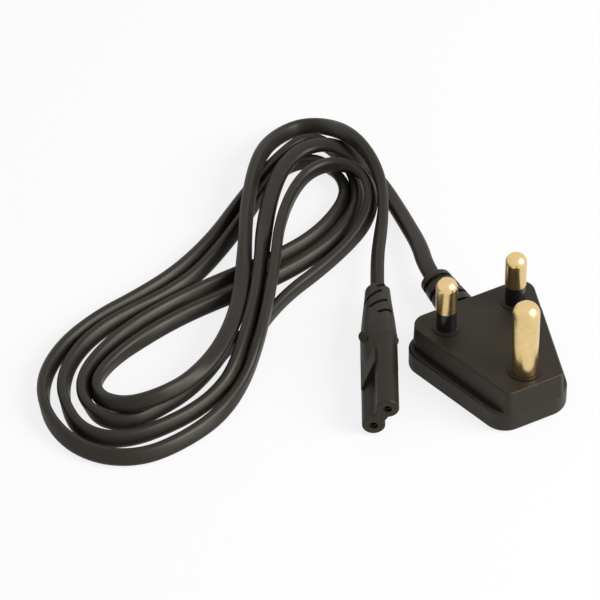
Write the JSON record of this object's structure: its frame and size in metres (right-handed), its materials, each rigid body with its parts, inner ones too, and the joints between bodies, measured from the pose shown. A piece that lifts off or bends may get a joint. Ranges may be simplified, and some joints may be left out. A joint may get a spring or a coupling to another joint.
{
  "type": "power cord",
  "caption": "Moulded mains lead: three-round-pin plug with domed brass pins, flat flexible cord laid in a loose hank, and a small two-hole appliance connector.",
  "frame": {"origin": "on the plug's flat back, on its line of symmetry, midway between the earth pin and the row of the other two pins", "axes": "+Z along the pins, out of the plug's face; +Y from the earth pin towards the cord; +X from the live pin to the neutral pin"},
  "size_m": [0.1639, 0.1656, 0.0461],
  "materials": {
    "pvc_black": "satin moulded PVC",
    "cord_sheath": "satin extruded PVC",
    "brass": "polished",
    "sleeve_black": "smooth",
    "carrier_black": "moulded",
    "core_brown": "extruded",
    "core_blue": "extruded",
    "copper": "stranded copper"
  },
  "bodies": {
    "root": {"plug_body": "pvc_black", "connector_body": "pvc_black", "cord": "cord_sheath", "live_pin": "brass", "neutral_pin": "brass", "earth_pin": "brass", "live_pin_sleeve": "sleeve_black", "neutral_pin_sleeve": "sleeve_black", "pin_carrier": "carrier_black", "connector_insert": "carrier_black", "live_crimp": "brass", "neutral_crimp": "brass", "connector_live_contact": "brass", "connector_neutral_contact": "brass", "plug_live_core": "core_brown", "connector_live_core": "core_brown", "plug_neutral_core": "core_blue", "connector_neutral_core": "core_blue", "plug_live_conductor": "copper", "plug_neutral_conductor": "copper", "connector_live_conductor": "copper", "connector_neutral_conductor": "copper"}
  },
  "joints": []
}
